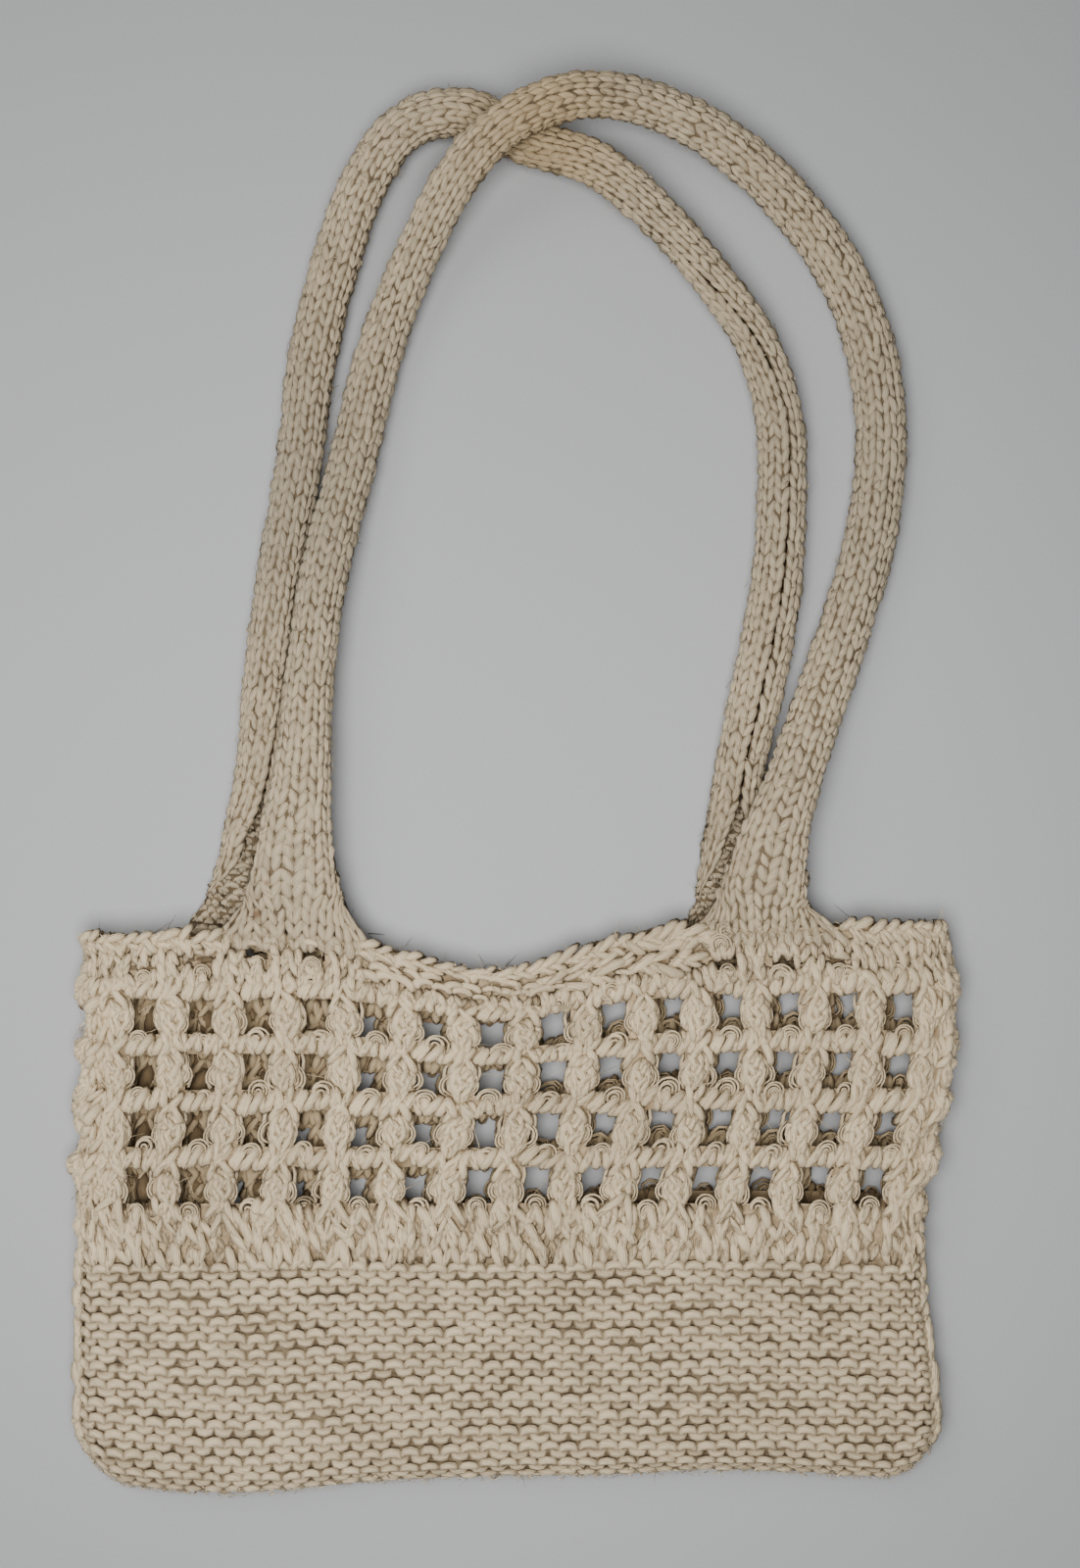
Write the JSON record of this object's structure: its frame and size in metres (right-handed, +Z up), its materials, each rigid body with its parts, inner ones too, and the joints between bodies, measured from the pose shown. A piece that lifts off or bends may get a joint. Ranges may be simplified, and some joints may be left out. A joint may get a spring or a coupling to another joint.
{
  "type": "knitted tote bag",
  "caption": "Soft hand-knitted cotton tote bag lying flat and empty, ridged below and openwork above, with long rolled handles that cross at the top.",
  "frame": {"origin": "on the surface the bag lies on, under the middle of its overall box", "axes": "+X to the right across the bag, +Y from the bottom edge towards the handles, +Z up out of the front panel"},
  "size_m": [0.3084, 0.491, 0.0305],
  "materials": {
    "cotton_front": "matte natural cotton yarn",
    "cotton_back": "matte natural cotton yarn",
    "cotton_handle_front": "matte natural cotton yarn",
    "cotton_handle_back": "matte natural cotton yarn"
  },
  "bodies": {
    "root": {"panel_front": "cotton_front", "panel_back": "cotton_back", "handle_front": "cotton_handle_front", "handle_back": "cotton_handle_back"}
  },
  "joints": []
}
